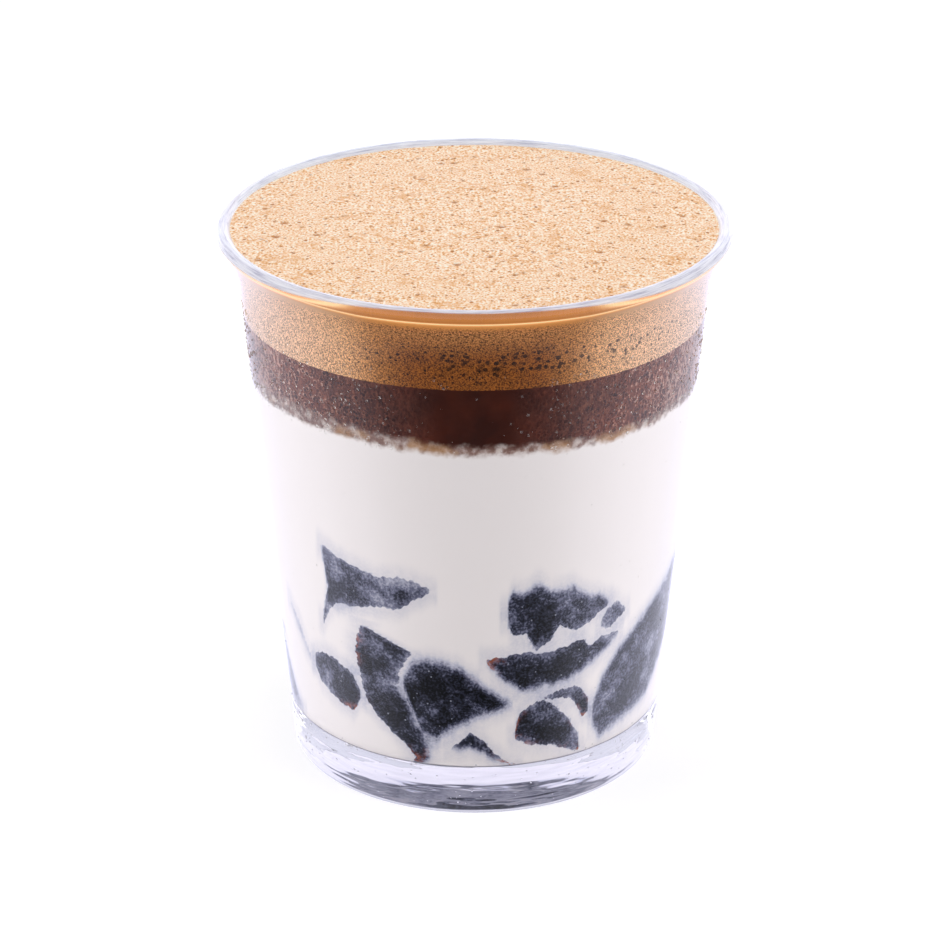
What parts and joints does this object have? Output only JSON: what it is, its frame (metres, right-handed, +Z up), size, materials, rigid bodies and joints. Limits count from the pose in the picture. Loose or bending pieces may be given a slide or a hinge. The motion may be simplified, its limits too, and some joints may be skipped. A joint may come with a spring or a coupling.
{
  "type": "coconut coffee with grass jelly",
  "caption": "Brimful flared glass tumbler of layered iced drink: white coconut milk with dark grass jelly strips below, black coffee, then a thick pale coffee foam level with the lip.",
  "frame": {"origin": "middle of the underside of the glass, on the surface that it stands on", "axes": "+Z up, along the axis of the round glass; the side that shows best faces -Y, with +X to its right"},
  "size_m": [0.09, 0.09, 0.1],
  "materials": {
    "clear_glass": "clear, polished",
    "coconut_milk": "smooth opaque white liquid",
    "black_coffee": "clear to the eye as near black liquid",
    "coffee_foam": "fine porous foam"
  },
  "bodies": {
    "root": {"tumbler": "clear_glass", "coconut_milk": "coconut_milk", "coffee": "black_coffee", "coffee_foam": "coffee_foam"}
  },
  "joints": []
}
